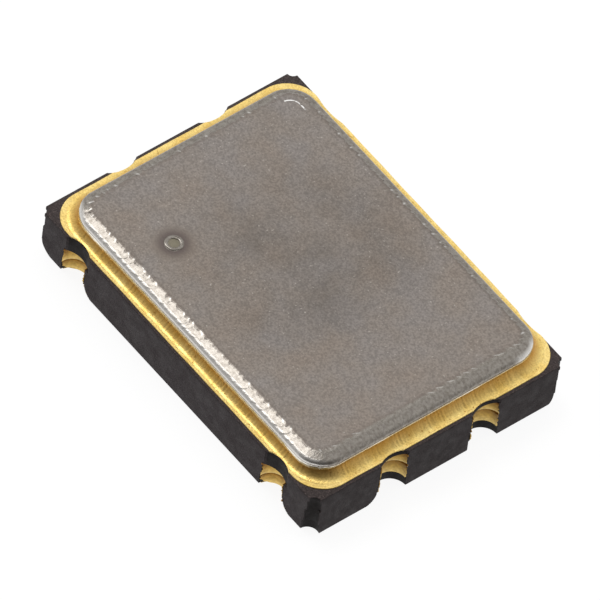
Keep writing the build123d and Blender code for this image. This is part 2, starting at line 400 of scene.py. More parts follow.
# %% Places along the sides
def side_places(limit, mouths, step=0.05, turns=17):
    """Sorted places from -limit to limit, close together inside each mouth."""
    places = [np.arange(-limit, limit, step), [limit]]
    for centre, radius, lead in mouths:
        start = math.asin(min(lead / radius, 1))
        places.append(centre + radius * np.cos(np.linspace(start, math.pi - start, turns)))
        mouth = math.sqrt(radius**2 - lead**2)
        for sign in (-1, 1):
            places.append(centre + sign * (mouth + np.linspace(0.01, 0.24, 9)))
    merged = np.unique(np.concatenate(places))
    merged = merged[np.abs(merged) <= limit]
    keep = np.append(True, np.diff(merged) > 1e-3)
    return merged[keep]


long_limit = 3.0
end_limit = 2.2
long_mouths = [
    (sign * terminal_x + each.shift, *each.terminal) for each in sheets for sign in (-1, 1)
]
end_mouths = [
    (sign * side_contact_y, each.side[0], each.side[1] + end * each.shift)
    for each in sheets
    for sign in (-1, 1)
    for end in (-1, 1)
]
long_places = side_places(long_limit, long_mouths)
end_places = side_places(end_limit, end_mouths)
print("places along a long side:", len(long_places), "and along an end:", len(end_places))


# %% One outline of the body
def corner_arc(sign_x, sign_y, shift, radius, inset, count=13):
    """The quarter-round bite at a corner, from the end face round to the long side."""
    centre_x = half_length + sign_x * shift
    reach = half_length - inset - centre_x
    start = -math.pi / 2 + math.asin(reach / radius)
    angle = np.linspace(start, -math.pi + math.asin(inset / radius), count)
    x = centre_x + radius * np.cos(angle)
    y = half_width + radius * np.sin(angle)
    return np.stack([sign_x * x, sign_y * y], 1)


worn_long_mouths = ((0, 1), (1, 1))
worn_end_mouths = ((0, -1),)
corner_wear = by_corner(0.0, 0.5, 0.5, 1.5)


def body_outline(each, height, inset=0.0):
    """Outline of one sheet at a height, counter-clockwise from the -Y end of the +X face.

    The inset moves the sides in and makes the bites larger, so the whole outline stays true.
    """
    wear = worn(height - body_low[2])
    shift = each.shift
    radius, lead = each.terminal
    centres = [sign * terminal_x + shift for sign in (-1, 1)]
    near_depth = bite_depth(long_places, centres, radius + inset, lead, wear, worn_long_mouths)
    far_depth = near_depth
    if each.terminal == shallow:
        far_depth = bite_depth(long_places, centres, far_radius + inset, far_lead)
    radius, lead = each.side
    centres = [sign * side_contact_y for sign in (-1, 1)]
    radius += inset
    plus_depth = bite_depth(end_places, centres, radius, lead + shift, wear, worn_end_mouths)
    minus_depth = bite_depth(end_places, centres, radius, lead - shift, wear, worn_end_mouths)
    near_depth, far_depth, plus_depth, minus_depth = (
        np.maximum(depth, inset) for depth in (near_depth, far_depth, plus_depth, minus_depth)
    )
    corner = {
        place: corner_arc(*place, shift, radius + inset + wear * corner_wear[place], inset)
        for place, radius in each.corners.items()
    }
    return np.concatenate(
        [
            np.stack([half_length - plus_depth, end_places], 1),
            corner[1, 1],
            np.stack([long_places, half_width - far_depth], 1)[::-1],
            corner[-1, 1][::-1],
            np.stack([minus_depth - half_length, end_places], 1)[::-1],
            corner[-1, -1],
            np.stack([long_places, near_depth - half_width], 1),
            corner[1, -1][::-1],
        ]
    )


# %% [markdown]
# ## Broken edges
#
# Fired ceramic has no knife edges. The lowest and highest outlines are repeated a little
# further in, which rounds the arris. The inset goes into the formula of the outline. Pushing
# each point along its normal would be shorter, but inside a tight bite the points would pass
# each other, and the crossed outline would close the notch.


# %% Outlines with their edges broken
def body_row(each, height, inset=0.0):
    return at_height(body_outline(each, height, inset), height)


def arris_rows(each, height, radius, upwards):
    """Rows that round an edge, listed from the lowest row upwards."""
    rows = []
    for turn in np.linspace(0, math.pi / 2, 4):
        level = height + upwards * radius * (math.sin(turn) - 1)
        rows.append(body_row(each, level, radius * (1 - math.cos(turn))))
    return rows if upwards > 0 else rows[::-1]


lower_arris = 0.02
upper_arris = 0.012
first_level = body_low[2] + 2 * lower_arris
rows = arris_rows(floor_sheet, body_low[2], lower_arris, -1)
rows += [body_row(floor_sheet, level) for level in np.linspace(first_level, floor_top, 9)]
for each in (die_sheet, crystal_sheet):
    rows += [body_row(each, level) for level in np.linspace(each.low, each.high, 4)]
rows.append(body_row(rim_sheet, crystal_top))
rows += arris_rows(rim_sheet, body_high[2], upper_arris, 1)
print("outlines:", len(rows), "with", len(rows[0]), "points each")

# %% [markdown]
# ## The cavity under the lid
#
# The lid hides the cavity, but the body is still made hollow, with its two shelves, so that the
# chip and the quartz inside don't sit in solid ceramic. Its walls are rounded rectangles that
# step inwards on the way down.

# %% Steps of the cavity
rim_bore = (-2.68, 2.68, 1.75)
crystal_bore = (-1.98, 2.26, 1.49)
die_bore = (-1.43, 1.71, 1.07)
cavity_corner = 0.25
cavity_count = 96


def bore_loop(bore, height):
    """A bore is its lowest and highest X, and half its width."""
    low, high, half = bore
    points, _, _ = rounded_path((high - low) / 2, half, cavity_corner, cavity_count)
    return at_height(points + ((low + high) / 2, -seal_y), height)


shelf_heights = (body_high[2], crystal_top, die_top, floor_top)
cavity = []
for number, bore in enumerate((rim_bore, crystal_bore, die_bore)):
    cavity += [bore_loop(bore, height) for height in shelf_heights[number : number + 2]]
print("loops in the cavity:", len(cavity))

# %% [markdown]
# ## Painted shade on the ceramic
#
# The faces of the body get painted shade by how they face: the top is left lightest, the long
# sides are painted darker, the ends darker still, and the punched walls of the notches darkest,
# as painted shade in the recesses. Each face stores its depth of painted shade for the finish
# to read.


# %% Make the ceramic body
def mark_painted_shade(piece):
    """Stores painted shade: 0 on level faces, 0.5 on long sides, 0.7 on ends, 1 in the notches."""
    notch_depth = 0.025
    level_normal = 0.98
    upright_normal = 0.38
    values = []
    for face in piece.data.polygons:
        back = min(half_length - abs(face.center.x) / MM, half_width - abs(face.center.y) / MM)
        upright = (level_normal - abs(face.normal.z)) / (level_normal - upright_normal)
        side = 0.5 + 0.2 * abs(face.normal.x)
        values.append(min(max(upright, 0), 1) * (1.0 if back > notch_depth else side))
    attribute = piece.data.attributes.new("painted_shade", "FLOAT", "FACE")
    attribute.data.foreach_set("value", values)


shells = [stack(rows, close_last=False), stack(cavity, close_first=False)]
ceramic_body = mesh_object("ceramic_body", *joined(shells))
print("open edges left in the body:", clean_mesh(ceramic_body, fill_opening=True))
smooth_shading(ceramic_body)
mark_painted_shade(ceramic_body)
print("ceramic body faces:", len(ceramic_body.data.polygons))

# %% [markdown]
# ## Gold in the notches
#
# A terminal is a pad under the body and a skin of gold that climbs the notch above it. The skin
# follows the same half circles as the ceramic, a hair nearer to the middle. Each sheet was
# plated through its own hole before stacking, so a dark line is left where two sheets meet.
# Where the package was snapped from its panel, the gold tore, so the skin's two upright edges
# are ragged. A fixed seed keeps the tears the same on every run.
#
# Each notch is drawn once in its own terms, a place along the side and a depth into it, and a
# small rule carries it to the right side of the body.


# %% Skins of gold that follow a notch
burr_seed = 11
burrs = np.random.default_rng(burr_seed)
tear_size = 0.045
tear_limit = 1.6 * tear_size
joint_plating = -0.002
skin_back = -0.004
worn_share = 0.8


def on_side(side, along, depth):
    """From a place along a side and a depth into it to the body's own X and Y."""
    axis, sign = side
    if axis == "x":
        return np.stack([sign * (half_length - depth), along], 1)
    return np.stack([along, sign * (half_width - depth)], 1)


def skin_rows(levels, side, hole, thickness, tear):
    """Rows of points on a notch wall. A hole gives centre, radius and lead in a sheet."""
    across = 19
    result = []
    for number, (level, each) in enumerate(levels):
        centre, radius, lead = hole(each)
        wear = worn(level - body_low[2])
        start = math.asin(min((lead + worn_share * wear) / radius, 1))
        low, high = start + tear[number]
        angle = np.linspace(low, math.pi - high, across)
        at_joint = level in (each.low, each.high) and 0 < number < len(levels) - 1
        reach = radius - (joint_plating if at_joint and thickness > 0 else thickness)
        points = on_side(side, centre + reach * np.cos(angle), reach * np.sin(angle) - lead)
        result.append(at_height(points, level))
    return result


def notch_skin(levels, side, hole):
    """A closed shell: the front of the gold, and its back just inside the ceramic wall.

    The tear is how far each row's edges stand back or out, as an angle.
    """
    tear = np.clip(burrs.normal(0, tear_size, (len(levels), 2)), -tear_limit, tear_limit)
    front = skin_rows(levels, side, hole, plating, tear)
    rear = skin_rows(levels, side, hole, skin_back, tear)
    return stack([np.concatenate([f, r[::-1]]) for f, r in zip(front, rear)])


def notch_levels(*parts, step=0.025):
    """Heights of the rows, with two rows where one sheet meets the next."""
    levels = []
    for low, high, each in parts:
        count = max(int((high - low) / step), 2)
        levels += [(level, each) for level in np.linspace(low, high, count)]
    return levels


# %% [markdown]
# ## Pads under the body
#
# The pad is a printed rectangle with the notch bitten out of its outer edge. From above only
# its torn gold shows in the notch, but the part is also seen from below.


# %% Pads
def pad_mesh(x, sign):
    """Pad with a soft edge, from the ceramic's underside down to the board."""
    mouth = hole_radius_floor * np.cos(np.linspace(0, math.pi, 25))
    beside = np.linspace(hole_radius_floor + 0.01, pad_length / 2, 9)
    places = np.concatenate([-beside[::-1], mouth[::-1], beside])

    def outline(inset):
        """The pad's outline, with its sides moved in and its bite made larger."""
        bite = bite_depth(places, [0], hole_radius_floor + inset, 0)
        along = places * (1 - 2 * inset / pad_length) + x
        outer_y = sign * (half_width - np.maximum(bite, pad_edge_margin + inset))
        inner_y = sign * (half_width - pad_edge_margin - pad_width + inset)
        outer = np.stack([along, outer_y], 1)
        inner = np.stack([along, np.full(len(along), inner_y)], 1)
        both = np.concatenate([outer, inner[::-1]])
        return both[::-1] if sign > 0 else both

    foot = at_height(outline(print_softness), 0)
    return stack([foot] + [at_height(outline(0), z) for z in (print_softness, body_low[2])])


# %% Make the terminals and the side contacts
def gold_piece(name, *parts):
    piece = mesh_object(name, *joined(parts))
    clean_mesh(piece)
    smooth_shading(piece, 40)
    return piece


def make_terminal(number, x, sign):
    centre = x + lower_sheets_shift
    levels = notch_levels((0, floor_top, floor_sheet), (floor_top, die_top, die_sheet))
    skin = notch_skin(levels, ("y", sign), lambda each: (centre, *each.terminal))
    return gold_piece(f"gold_terminal_{number}", skin, pad_mesh(centre, sign))


def make_side_contact(number, sign, y):
    def hole(each):
        return y, each.side[0], each.side[1] + sign * each.shift

    levels = notch_levels((floor_top, die_top, die_sheet), (die_top, crystal_top, crystal_sheet))
    return gold_piece(f"gold_contact_{number}", notch_skin(levels, ("x", sign), hole))


terminal_signs = ((-1, -1), (1, -1), (1, 1), (-1, 1))
contact_signs = ((1, -1), (1, 1), (-1, 1), (-1, -1))
terminals = [
    make_terminal(n, sign_x * terminal_x, sign_y)
    for n, (sign_x, sign_y) in enumerate(terminal_signs, 1)
]
contacts = [
    make_side_contact(n, sign_x, sign_y * side_contact_y)
    for n, (sign_x, sign_y) in enumerate(contact_signs, 1)
]
print("terminals:", len(terminals), "side contacts:", len(contacts))

# %% [markdown]
# ## The printed gold land
#
# The land is a thin print of gold on the rim. It stops a little short of every bite. A point
# that would lie inside a bite is pushed back along the path's normal, out of the bite's circle.


# %% Make the seal land
def pushed_out_of_bites(points, normals):
    pushed = points.copy()
    bites = []
    for x in (-terminal_x, terminal_x):
        bites.append(((x, -half_width - shallow_lead), shallow_radius))
        bites.append(((x, half_width + far_lead), far_radius))
    for y in (-side_contact_y, side_contact_y):
        for sign in (-1, 1):
            bites.append(((sign * (half_length + shallow_lead), y), shallow_radius))
    for centre, radius in bites:
        away = pushed - centre
        along = np.sum(away * normals, 1)
        inside = (radius + land_notch_margin) ** 2 - np.sum(away**2, 1)
        step = np.where(inside > 0, along + np.sqrt(np.maximum(along**2 + inside, 0)), 0)
        pushed -= normals * step[:, None]
    return pushed


land_count = 1500
land_even_edge = 0.06
land_bore_corner = 0.10
print_waver = 0.004
print_wave_lengths = (0.21, 0.47)
ring_half = (ring_high - ring_low)[:2] / 2
land_half = (land_high - land_low)[:2] / 2
points, normals, distances = rounded_path(*land_half, land_corner, land_count)
waver = normals * print_waver
for wave_length in print_wave_lengths:
    waver = waver * np.sin(distances / wave_length)[:, None]
edge = pushed_out_of_bites(points + waver, normals)
bore, _, _ = rounded_path(*(ring_half - ring_band), land_bore_corner, land_count)
gold_land = hoop("gold_land", [
    at_height(bore, land_low[2]),
    at_height(edge, land_low[2]),
    at_height(edge, land_high[2] - print_softness),
    at_height(edge - normals * print_softness, land_high[2]),
    at_height(edge - normals * land_even_edge, land_high[2]),
    at_height(bore, land_high[2]),
])
clean_mesh(gold_land)
smooth_shading(gold_land)
print("land faces:", len(gold_land.data.polygons))

# %% [markdown]
# ## The ring
#
# The ring is a plain band of metal that hides under the lid. Only a thin line of its outer wall
# shows, between the top of the braze and the lid. A closed profile, given as outward distance
# and height, is carried round the path.

# %% Make the seal ring
ring_count = 1100
ring_path = rounded_path(*ring_half, ring_corner, ring_count)
soft = 0.01
shoulder = 0.3 * soft
ring_profile = [
    (-ring_band, ring_low[2]),
    (0, ring_low[2]),
    (0, ring_high[2] - soft),
    (-shoulder, ring_high[2] - shoulder),
    (-soft, ring_high[2]),
    (-ring_band, ring_high[2]),
]
seal_ring = hoop(
    "melted_ring", [at_height(moved_out(*ring_path[:2], out), up) for out, up in ring_profile]
)
clean_mesh(seal_ring)
smooth_shading(seal_ring)
print("ring faces:", len(seal_ring.data.polygons))

# %% [markdown]
# ## The braze
#
# Braze is drawn up the ring's wall while it is liquid, and freezes in a hollow curve. A quarter
# circle was tried and is too steep at the top, where it mirrored the floor. A power curve that
# starts flat on the land and meets the wall at about sixty degrees matches the photograph. The
# foot reaches further on the end sides, where the land is wider, and the crest is a little
# lower on the near long side, where a bright line of the ring's wall shows.
#
# The liquid left fine ticks across the fillet, where it ran into the grain of the print. They
# follow the path, so they are made by a node tree: it reads each point's distance round the
# path and moves the point along its normal. Its share tells how much a row may move.


# %% Make the plain braze
def make_braze():
    still_rows = 3
    points, normals, distances = ring_path
    toe = braze_toe_side + (braze_toe_end - braze_toe_side) * np.abs(normals[:, 0])
    crest = braze_high[2] - braze_dip * np.maximum(-normals[:, 1], 0)
    foot = land_high[2] + braze_feather
    profile = [(-ring_band, land_high[2], 0, 0), (toe, land_high[2], 0, 0)]
    for number, climb in enumerate(np.linspace(0, 1, 17)):
        out = toe * (1 - climb) + braze_feather
        height = foot + (crest - foot) * climb**braze_power
        profile.append((out, height, number >= still_rows, climb))
    profile += [(0, crest, 0, 1), (0, ring_low[2], 0, 1), (-ring_band, ring_low[2], 0, 1)]
    outs, heights, shares, climbs = zip(*profile)
    edges = [pushed_out_of_bites(moved_out(points, normals, out), normals) for out in outs]
    piece = hoop("braze_fillet", [at_height(*pair) for pair in zip(edges, heights)])
    keep_attribute(piece, "along", np.tile(distances, len(profile)))
    keep_attribute(piece, "share", np.repeat(shares, len(points)))
    keep_attribute(piece, "climb", np.repeat(climbs, len(points)))
    smooth_shading(piece, 60)
    return piece


braze = make_braze()

# %% [markdown]
# ## Node trees in code
#
# Shaders and node trees are both nodes joined by wires. Here a wire is a small class that knows
# an output and its tree. Python lets a class say what a plus or a times sign means, so a sum of
# two wires adds the maths node that does it, and a long tree reads like a short formula.


# %% A wire
class Wire:
    """An output of a node. Its signs add maths nodes."""

    def __init__(self, tree, socket):
        self.tree = tree
        self.socket = socket

    def __add__(self, other):
        return maths("ADD", self, other)

    def __sub__(self, other):
        return maths("SUBTRACT", self, other)

    def __rsub__(self, other):
        return maths("SUBTRACT", other, self)

    def __mul__(self, other):
        return maths("MULTIPLY", self, other)

    def __truediv__(self, other):
        return maths("DIVIDE", self, other)


# %% Helpers that add nodes
def feed(socket, value):
    """Leads a wire into a socket, or sets the socket to a plain value."""
    if isinstance(value, Wire):
        value.tree.links.new(value.socket, socket)
    else:
        socket.default_value = value


def added(tree, kind, inputs, output=0, **settings):
    """Adds a node with its settings, and gives one of its outputs.

    The inputs are a list in the node's own order, or a dictionary by name or number.
    """
    node = tree.nodes.new(kind)
    for name, value in settings.items():
        setattr(node, name, value)
    named = inputs if isinstance(inputs, dict) else dict(enumerate(inputs))
    for key, value in named.items():
        feed(node.inputs[key], value)
    return Wire(tree, node.outputs[output])


def maths(operation, *values):
    tree = next(value.tree for value in values if isinstance(value, Wire))
    return added(tree, "ShaderNodeMath", values, operation=operation)


def mapped(value, from_low, from_high, to_low, to_high, smooth=False):
    """The first range carried onto the second, and held at its ends."""
    limits = (value, from_low, from_high, to_low, to_high)
    way = "SMOOTHSTEP" if smooth else "LINEAR"
    return added(value.tree, "ShaderNodeMapRange", limits, interpolation_type=way)


def scaled(vector, factor):
    """A direction made longer or shorter, or a colour made lighter or darker."""
    inputs = {0: vector, "Scale": factor}
    return added(vector.tree, "ShaderNodeVectorMath", inputs, operation="SCALE")


# %% [markdown]
# ## Trees that shape a piece
#
# A tree for a shape has named inputs for its sizes, its seed and its material. It ends by
# making instances real and setting the material. One more helper runs the finished tree on a
# piece and keeps the plain mesh, so that nothing is left to work out later.


# %% Helpers for trees that shape a piece
def new_tree(name, values):
    """A tree with a named input for each value, and the wires from its inputs."""
    tree = bpy.data.node_groups.new(name, "GeometryNodeTree")
    for way in ("INPUT", "OUTPUT"):
        tree.interface.new_socket("Geometry", in_out=way, socket_type="NodeSocketGeometry")
    for label, value in values.items():
        kind = "NodeSocketFloat" if isinstance(value, float) else "NodeSocketMaterial"
        tree.interface.new_socket(label, in_out="INPUT", socket_type=kind)
    sockets = tree.nodes.new("NodeGroupInput").outputs
    return tree, {socket.name: Wire(tree, socket) for socket in sockets}


def stored(tree, name):
    """A number that the mesh keeps for each point."""
    kind = "GeometryNodeInputNamedAttribute"
    return added(tree, kind, {"Name": name}, "Attribute", data_type="FLOAT")


def line_noise(along, size, seed):
    """Noise that only changes along a distance, about zero, with bumps of a given size."""
    inputs = {"W": along / size + seed, "Detail": 1.0, "Scale": 1.0}
    return added(along.tree, "ShaderNodeTexNoise", inputs, noise_dimensions="1D") - 0.5


def shifted(geometry, offset):
    inputs = {"Geometry": geometry, "Offset": offset}
    return added(geometry.tree, "GeometryNodeSetPosition", inputs)


# %% Helpers that end and run a tree
def finish_tree(geometry, material):
    """The last nodes of every tree: real instances, then the material."""
    tree = geometry.tree
    real = added(tree, "GeometryNodeRealizeInstances", [geometry])
    painted = added(tree, "GeometryNodeSetMaterial", {"Geometry": real, "Material": material})
    feed(tree.nodes.new("NodeGroupOutput").inputs[0], painted)
    return tree


def run_tree(piece, tree, values):
    """Runs a tree on a piece with inputs given by name, and keeps the result as its mesh."""
    modifier = piece.modifiers.new(tree.name, "NODES")
    modifier.node_group = tree
    for item in tree.interface.items_tree:
        if item.item_type == "SOCKET" and item.in_out == "INPUT" and item.name in values:
            modifier[item.identifier] = values[item.name]
    graph = bpy.context.evaluated_depsgraph_get()
    result = bpy.data.meshes.new_from_object(piece.evaluated_get(graph), depsgraph=graph)
    piece.modifiers.remove(modifier)
    plain = piece.data
    piece.data = result
    bpy.data.meshes.remove(plain)
    result.name = piece.name
    print(piece.name, "faces:", len(result.polygons))


# %% [markdown]
# ## Finishes
#
# Every finish is a small network on the shader. The patterns read the piece's own coordinates,
# so their grain has a real size, and a colour never stays flat: fired ceramic has pale specks,
# plated gold has pits and darker patches, and the lid is a matte grey with a fine tooth.


# %% Helpers for finishes
def new_finish(name, roughness=0.5, metallic=0.0):
    material = bpy.data.materials.new(name)
    material.use_nodes = True
    tree = material.node_tree
    shader = tree.nodes["Principled BSDF"]
    shader.inputs["Roughness"].default_value = roughness
    shader.inputs["Metallic"].default_value = metallic
    return material, tree, shader


def own_point(tree):
    return added(tree, "ShaderNodeTexCoord", [], "Object")


def own_axis(tree, axis):
    return added(tree, "ShaderNodeSeparateXYZ", [own_point(tree)], axis)


def distance_from(tree, place):
    """Distance in metres from a place given in millimetres."""
    ends = (own_point(tree), [value * MM for value in place])
    return added(tree, "ShaderNodeVectorMath", ends, "Value", operation="DISTANCE")


def grain(tree, size, detail=2.0):
    """Noise with bumps of a size in millimetres, from nought to one."""
    inputs = {"Scale": 1 / (size * MM), "Detail": detail, "Vector": own_point(tree)}
    return added(tree, "ShaderNodeTexNoise", inputs)


def mask(tree, name):
    """A number that the mesh stores on its points or faces."""
    return added(tree, "ShaderNodeAttribute", [], "Fac", attribute_name=name)


# %% Helpers for colour and relief
def ramp(value, *stops):
    """Colours along a value. A stop is a place and a colour."""
    node = value.tree.nodes.new("ShaderNodeValToRGB")
    elements = node.color_ramp.elements
    while len(elements) < len(stops):
        elements.new(0.5)
    for element, (place, colour) in zip(elements, stops):
        element.position = place
        element.color = (*colour, 1)
    feed(node.inputs[0], value)
    return Wire(value.tree, node.outputs[0])


def blended(share, first, second):
    """The first colour, giving way to the second as the share grows."""
    colours = {0: share, 6: first, 7: second if isinstance(second, Wire) else (*second, 1)}
    return added(share.tree, "ShaderNodeMix", colours, 2, data_type="RGBA")


def coat(shader, colour, relief, depth, strength=1.0):
    """Gives a shader its colour, and relief from nought to one of a depth in millimetres."""
    inputs = {"Strength": strength, "Distance": depth * MM, "Height": relief}
    feed(shader.inputs["Base Color"], colour)
    feed(shader.inputs["Normal"], added(relief.tree, "ShaderNodeBump", inputs))


# %% [markdown]
# ## Black ceramic
#
# The body is nearly black with a brown cast, and dull. Pale grains of alumina show as specks.

# %% Ceramic finish
ceramic_finish, tree, shader = new_finish("black_alumina", 0.60)
shader.inputs["Specular IOR Level"].default_value = 0.17
# Painted shade: the top lightest, the sides darker, the ends more so, the notches darkest.
painted_shade = ramp(
    mask(tree, "painted_shade"),
    (0.0, (0.064, 0.049, 0.047)),
    (0.5, (0.027, 0.0198, 0.0208)),
    (1.0, (0.005, 0.0028, 0.0024)),
)
speck = mapped(grain(tree, 0.022, 1), 0.56, 0.70, 0, 0.75)
mottle = mapped(grain(tree, 0.03, 3), 0.3, 0.7, 0.65, 1.35)
speckled = blended(speck, scaled(painted_shade, mottle), scaled(painted_shade, 2.4))
feed(shader.inputs["Roughness"], mapped(grain(tree, 0.15), 0.3, 0.7, 0.52, 0.70))
coat(shader, speckled, grain(tree, 0.028, 3), 0.005, 0.8)
print("nodes in the ceramic finish:", len(tree.nodes))

# %% [markdown]
# ## Gold
#
# Thick plated gold is a metal with a warm colour. On the land it has fine pits. On the braze it
# is painted browner towards the ring, as painted shade under the lid's edge. In the notches it
# was printed sheet by sheet, and its tone runs from painted light low in each sheet to painted
# shade high up, under the sheet above, and the finish follows the height.


# %% Gold finishes
def gold_finish(name, light, dark, roughness, pit_size, pit_depth, ring_shade=0.0):
    """Ring shade darkens the braze towards the ring as painted shade, by the climb attribute."""
    material, tree, shader = new_finish(name, roughness, 1.0)
    colour = ramp(grain(tree, 0.30, 3), (0.32, dark), (0.62, light))
    colour = scaled(colour, mapped(grain(tree, 0.030, 2), 0.35, 0.65, 0.86, 1.12))
    if ring_shade:
        shade_by_climb = mapped(mask(tree, "climb"), 0.25, 0.95, 0, ring_shade)
        spots = mapped(grain(tree, 0.055, 1), 0.66, 0.74, 0, 0.6)
        # Painted shade, darkest where the braze meets the ring under the lid's edge.
        colour = blended(shade_by_climb, colour, (0.36, 0.145, 0.014))
        colour = blended(spots, colour, (0.33, 0.13, 0.014))
    shift = mapped(grain(tree, 0.12), 0.3, 0.7, roughness - 0.06, roughness + 0.09)
    feed(shader.inputs["Roughness"], shift)
    coat(shader, colour, grain(tree, pit_size, 2), pit_depth)
    return material


def banded_gold(name, *sheets_plated, strength=1.0):
    """Gold in a notch: painted light low in each sheet, painted shade high up under the next sheet.
    """
    material, tree, shader = new_finish(name, 0.42, 1.0)
    bright = np.array([0.76, 0.55, 0.19]) * strength
    plain = np.array([0.49, 0.31, 0.075]) * strength
    brown = np.array([0.22, 0.095, 0.012]) * strength
    top = sheets_plated[-1][1]
    stops = []
    # Painted light low in each sheet and painted shade high up, under the sheet above.
    for low, high in sheets_plated:
        for share, tone in ((0.02, bright), (0.45, plain), (0.97, brown)):
            stops.append(((low + share * (high - low)) / top, tuple(tone)))
    wavy = mapped(grain(tree, 0.14, 2), 0, 1, -0.025 * MM, 0.025 * MM)
    bands = ramp((own_axis(tree, "Z") + wavy) / (top * MM), *stops)
    blotch = mapped(grain(tree, 0.06, 3), 0.3, 0.7, 0.75, 1.2)
    coat(shader, scaled(bands, blotch), grain(tree, 0.035, 2), 0.004)
    return material


land_gold = gold_finish(
    "gold_of_land", (0.93, 0.71, 0.27), (0.85, 0.60, 0.18), 0.36, 0.025, 0.0030
)
braze_gold = gold_finish(
    "gold_on_braze", (0.93, 0.70, 0.25), (0.83, 0.57, 0.16), 0.36, 0.025, 0.0030, ring_shade=0.78
)
ring_metal = gold_finish(
    "nickel_ring", (0.95, 0.93, 0.86), (0.86, 0.82, 0.72), 0.20, 0.03, 0.001
)
notch_gold = banded_gold("gold_in_notches", (0, floor_top), (floor_top, die_top))
# The side notches get a darker copy of the gold, as painted shade on the ends.
contact_gold = banded_gold(
    "gold_in_side_notches", (floor_top, die_top), (die_top, crystal_top), strength=0.80
)
print("finishes so far:", len(bpy.data.materials))

# %% [markdown]
# ## The lid's metal
#
# The lid is nickel-plated iron alloy with a matte tooth. Its top is mottled: brown and greenish
# clouds a millimetre across, over a grain of a few hundredths. In the weld track the metal
# melted, so it is smoother and cleaner. A dark line of painted shade, for the valley at the
# track's inner edge, runs just inside the track, and a brown halo lies round the spot mark. The
# weld's mask comes from the weld's own tree.
# The finish is built in three cells: the matte top, the melted metal, and the blend of both.

# %% Lid finish, the matte top
lid_metal, tree, shader = new_finish("welded_alloy", 0.45, 1.0)
clouds = ramp(
    grain(tree, 0.75, 2),
    (0.32, (0.256, 0.231, 0.214)),
    (0.50, (0.258, 0.226, 0.200)),
    (0.68, (0.262, 0.222, 0.190)),
)
from_middle = distance_from(tree, (-0.15, 0.2, lid_top))
stain = mapped(from_middle, 0.6 * MM, 2.4 * MM, 1, 0, smooth=True)
stain *= mapped(grain(tree, 1.1, 4), 0.38, 0.60, 0.35, 1)
tooth = mapped(grain(tree, 0.035, 2), 0.35, 0.65, 0.84, 1.16)
toothed = scaled(clouds, tooth * mapped(stain, 0, 1, 1.02, 0.76))
sparkle = mapped(grain(tree, 0.045, 1), 0.70, 0.78, 0, 0.5)
toothed = blended(sparkle, toothed, (0.55, 0.51, 0.46))

from_mark = distance_from(tree, (*spot_mark_place, lid_top))
halo = ramp(
    from_mark / (0.5 * MM),
    (0.00, (0.23, 0.21, 0.155)),
    (0.19, (0.21, 0.19, 0.14)),
    (0.32, (0.128, 0.103, 0.096)),
    (0.44, (0.158, 0.130, 0.117)),
    (0.66, (0.215, 0.182, 0.155)),
)
halo_share = mapped(from_mark, 0.19 * MM, 0.46 * MM, 0.92, 0, smooth=True)
haloed = blended(halo_share, toothed, halo)
# Painted shade: a dark line in the valley at the track's inner edge.
edge_shaded = blended(mask(tree, "track_edge_shade") * 0.42, haloed, (0.17, 0.14, 0.12))

# %% [markdown]
# The melted metal gets painted highlights: where its skirt turns down over the ring on the near
# side and at the right corner, on the crests that some pulses left, and along an arc at the far
# corner.

# %% Lid finish, the melted metal
right_corner = (lid_high[0] - 0.05, lid_high[1] - 0.29, lid_top - 0.05)
near_limits = ((lid_low[1] + 0.25) * MM, (lid_low[1] + 0.10) * MM)
melted = ramp(grain(tree, 0.05, 3), (0.3, (0.215, 0.192, 0.166)), (0.62, (0.325, 0.300, 0.268)))
# Painted shade in the trough of each weld scale.
trough_shade = mapped(mask(tree, "trough_shade"), 0.80, 1.0, 0.0, 0.6)
melted = blended(trough_shade, melted, (0.17, 0.145, 0.135))
# Painted highlight where the skirt turns down, on the near side and at the right corner.
skirt_highlight = mapped(mask(tree, "across"), -0.02, 0.035, 1, 0)
at_near_side = mapped(own_axis(tree, "Y"), *near_limits, 0, 1)
at_right_corner = mapped(distance_from(tree, right_corner), 0.18 * MM, 0.30 * MM, 1, 0)
skirt_highlight *= maths("MAXIMUM", at_near_side, at_right_corner)
melted = blended(skirt_highlight, melted, (0.66, 0.64, 0.61))
# Painted glints on the crests of some pulses.
melted = blended(mask(tree, "glint"), melted, (0.90, 0.88, 0.85))

# %% Lid finish, both blended
mark_ring = mapped(from_mark, 0.150 * MM, 0.165 * MM, 1, 0)
mark_ring *= mapped(from_mark, 0.085 * MM, 0.100 * MM, 0, 1)
melt = maths("MAXIMUM", mask(tree, "weld"), mark_ring)
# A painted glint along an arc of the rim at the far corner, broken by noise.
broken_glint = mask(tree, "far_corner_glint") * mapped(grain(tree, 0.09, 1), 0.42, 0.50, 0, 1)
metal = blended(broken_glint, blended(melt, edge_shaded, melted), (0.96, 0.95, 0.93))
feed(shader.inputs["Roughness"], mapped(melt, 0, 1, 0.46, 0.27))
coat(shader, metal, grain(tree, 0.03, 3), 0.003, 0.8)
print("nodes in the lid's finish:", len(tree.nodes))

# %% [markdown]
# ## Ticks in the braze
#
# The tree adds two noises that change only along the path: a slow one for the wandering edge,
# and a fast one for the ticks.


# %% Node tree for the braze
def braze_tree(values):
    tree, given = new_tree("braze_flow", values)
    along = stored(tree, "along")
    slow = line_noise(along, given["Wander size"], given["Seed"])
    fast = line_noise(along, given["Tick size"], given["Seed"] + 7.0)
    moved = (slow * given["Wander height"] + fast * given["Tick height"]) * stored(tree, "share")
    outwards = added(tree, "GeometryNodeInputNormal", [])
    geometry = shifted(given["Geometry"], scaled(outwards, moved * MM))
    return finish_tree(geometry, given["Material"])


braze_inputs = {
    "Wander size": 0.9,
    "Wander height": 0.010,
    "Tick size": 0.035,
    "Tick height": 0.0085,
    "Seed": 3.0,
    "Material": braze_gold,
}
run_tree(braze, braze_tree(braze_inputs), braze_inputs)
